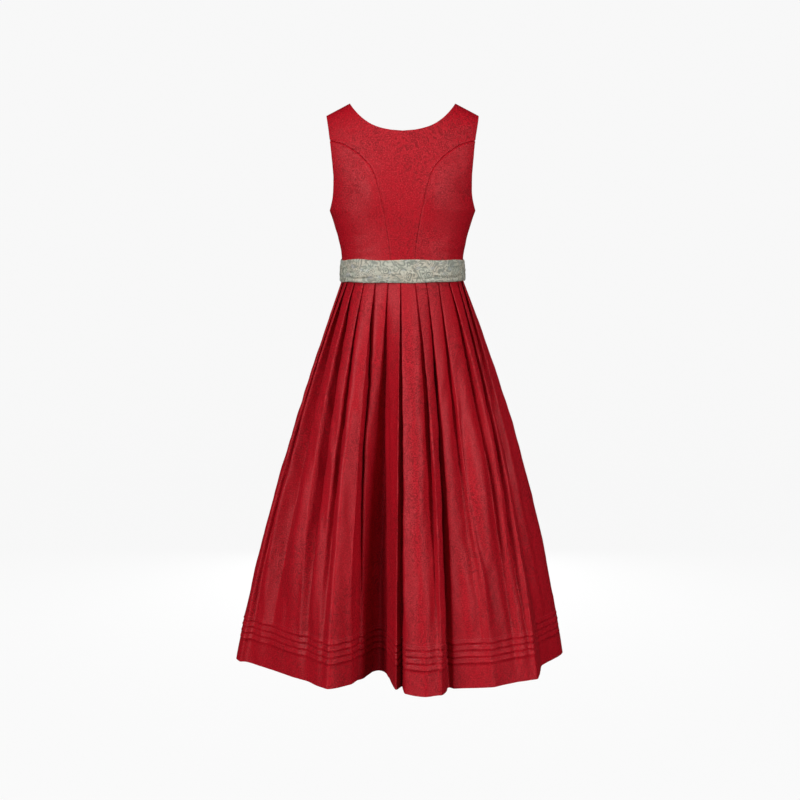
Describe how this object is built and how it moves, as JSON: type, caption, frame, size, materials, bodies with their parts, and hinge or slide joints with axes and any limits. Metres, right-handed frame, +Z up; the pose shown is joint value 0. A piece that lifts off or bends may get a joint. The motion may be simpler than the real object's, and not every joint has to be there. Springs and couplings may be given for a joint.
{
  "type": "dirndl dress",
  "caption": "Sleeveless dress with a round neck, curved front seams, a separate waist sash and a long knife-pleated skirt with tucks above the hem, hollow as when worn.",
  "frame": {"origin": "midway between the neck ends of the two shoulder seams, where the dress rests on the wearer's shoulders", "axes": "+X to the viewer's right when facing the front, -Y out of the front, +Z up"},
  "size_m": [0.7901, 0.6032, 1.306],
  "materials": {
    "dress_cloth": "soft sheen, tone-on-tone jacquard",
    "sash_cloth": "silvery brocade, light lustre"
  },
  "bodies": {
    "root": {"bodice_front_centre": "dress_cloth", "bodice_front_side_left": "dress_cloth", "bodice_front_side_right": "dress_cloth", "bodice_back_left": "dress_cloth", "bodice_back_right": "dress_cloth", "waist_band": "sash_cloth", "skirt_front": "dress_cloth", "skirt_back_left": "dress_cloth", "skirt_back_right": "dress_cloth"}
  },
  "joints": []
}
